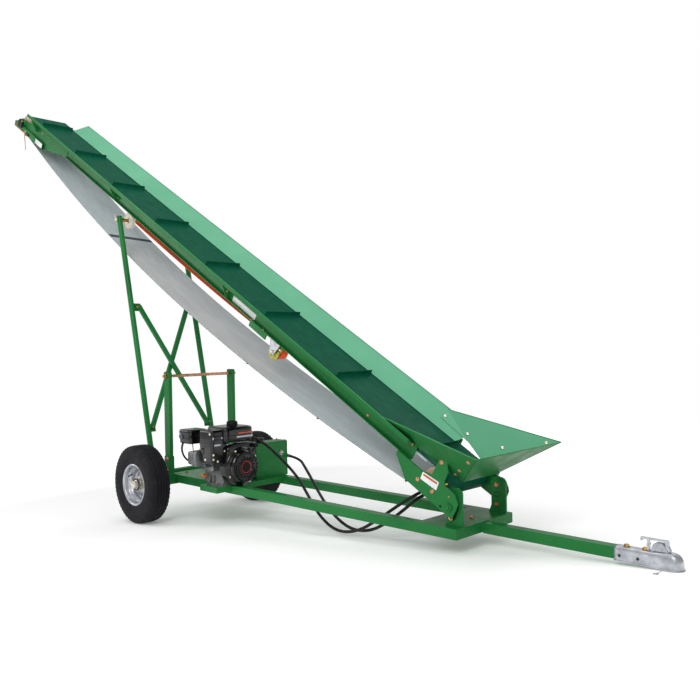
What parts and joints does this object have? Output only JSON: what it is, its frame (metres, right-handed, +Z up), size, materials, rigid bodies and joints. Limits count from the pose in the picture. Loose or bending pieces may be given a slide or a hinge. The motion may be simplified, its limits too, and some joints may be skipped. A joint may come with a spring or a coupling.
{
  "type": "firewood conveyor",
  "caption": "Towed firewood conveyor: a wheeled tube chassis with an engine and oil tank, and a cleated belt boom with a hopper, held up by leaning legs and a strap winch.",
  "frame": {"origin": "on the ground at the middle of the overall length, on the centre line", "axes": "+X towards the towing hitch, +Y to the left, +Z up; parked with the coupler on the ground"},
  "size_m": [5.5972, 1.076, 3.3708],
  "materials": {
    "frame_green": "glossy enamel",
    "board_green": "glossy enamel",
    "belt_green": "satin PVC",
    "zinc": "zinc plated",
    "steel": "turned steel",
    "black_enamel": "gloss black",
    "engine_cast": "die cast",
    "black_plastic": "moulded",
    "tyre_rubber": "matt",
    "hose_rubber": "satin",
    "strap_orange": "woven webbing",
    "nylon": "turned nylon",
    "motor_black": "matt black"
  },
  "bodies": {
    "chassis": {"rail_left": "frame_green", "rail_right": "frame_green", "front_cross_tube": "frame_green", "axle_beam": "frame_green", "rear_frame": "frame_green", "post_left": "frame_green", "post_right": "frame_green", "post_rod": "zinc", "front_deck": "frame_green", "engine_deck": "frame_green", "engine_bearer": "frame_green", "drawbar": "frame_green", "coupler_body": "zinc", "coupler_latch": "zinc", "pivot_bracket_left": "frame_green", "pivot_bracket_right": "frame_green", "pivot_bearings": "frame_green", "engine_block": "engine_cast", "engine_fan_housing": "black_enamel", "engine_cylinder": "black_enamel", "engine_air_cleaner": "black_plastic", "fuel_tank": "black_enamel", "hydraulic_pump": "motor_black", "hydraulic_tank": "frame_green", "pressure_hose": "hose_rubber", "return_hose": "hose_rubber"},
    "wheel_left": {"tyre_left": "tyre_rubber", "rim_left": "zinc", "hub_left": "zinc"},
    "wheel_right": {"tyre_right": "tyre_rubber", "rim_right": "zinc", "hub_right": "zinc"},
    "boom": {"belt": "belt_green", "head_drum": "steel", "tail_drum": "steel", "slider_pan": "frame_green", "boom_channel_left": "board_green", "boom_channel_right": "board_green", "side_board_left": "board_green", "side_board_right": "board_green", "boom_crossmembers": "frame_green", "hopper_side_left": "board_green", "hopper_side_right": "board_green", "hopper_front": "board_green", "side_plate_left": "frame_green", "side_plate_right": "frame_green", "pivot_pins": "zinc", "takeup_arm_left": "frame_green", "takeup_arm_right": "frame_green", "hydraulic_motor": "motor_black", "winch_bracket": "frame_green", "winch_frame": "zinc", "winch_gear": "zinc", "winch_strap": "strap_orange"},
    "leg_frame": {"leg_left": "frame_green", "leg_right": "frame_green", "leg_braces": "frame_green", "roller_shaft": "zinc"},
    "support_roller_left": {"support_roller_left": "nylon"},
    "support_roller_right": {"support_roller_right": "nylon"}
  },
  "joints": [
    {"name": "wheel_left_spin", "type": "hinge", "parent": "chassis", "child": "wheel_left", "pos_m": [-0.47719, 0.469, 0.252], "axis": [0, 1, 0], "continuous": true},
    {"name": "wheel_right_spin", "type": "hinge", "parent": "chassis", "child": "wheel_right", "pos_m": [-0.47719, -0.469, 0.252], "axis": [0, 1, 0], "continuous": true},
    {"name": "boom_lift", "type": "hinge", "parent": "chassis", "child": "boom", "pos_m": [1.81881, 0, 0.21857], "axis": [0, 1, 0], "range_deg": [-9.5, 5.5], "deforming": ["winch_strap", "pressure_hose", "return_hose"]},
    {"name": "leg_swing", "type": "hinge", "parent": "chassis", "child": "leg_frame", "pos_m": [-0.66442, 0, 0.26971], "axis": [0, 1, 0], "range_deg": [-25.5, 15]},
    {"name": "roller_left_spin", "type": "hinge", "parent": "leg_frame", "child": "support_roller_left", "pos_m": [-0.94836, 0.181, 2.09968], "axis": [0, 1, 0], "continuous": true},
    {"name": "roller_right_spin", "type": "hinge", "parent": "leg_frame", "child": "support_roller_right", "pos_m": [-0.94836, -0.181, 2.09968], "axis": [0, 1, 0], "continuous": true}
  ],
  "couplings": [
    {"joint": "leg_swing", "follows": "boom_lift", "ratio": 2.638}
  ]
}
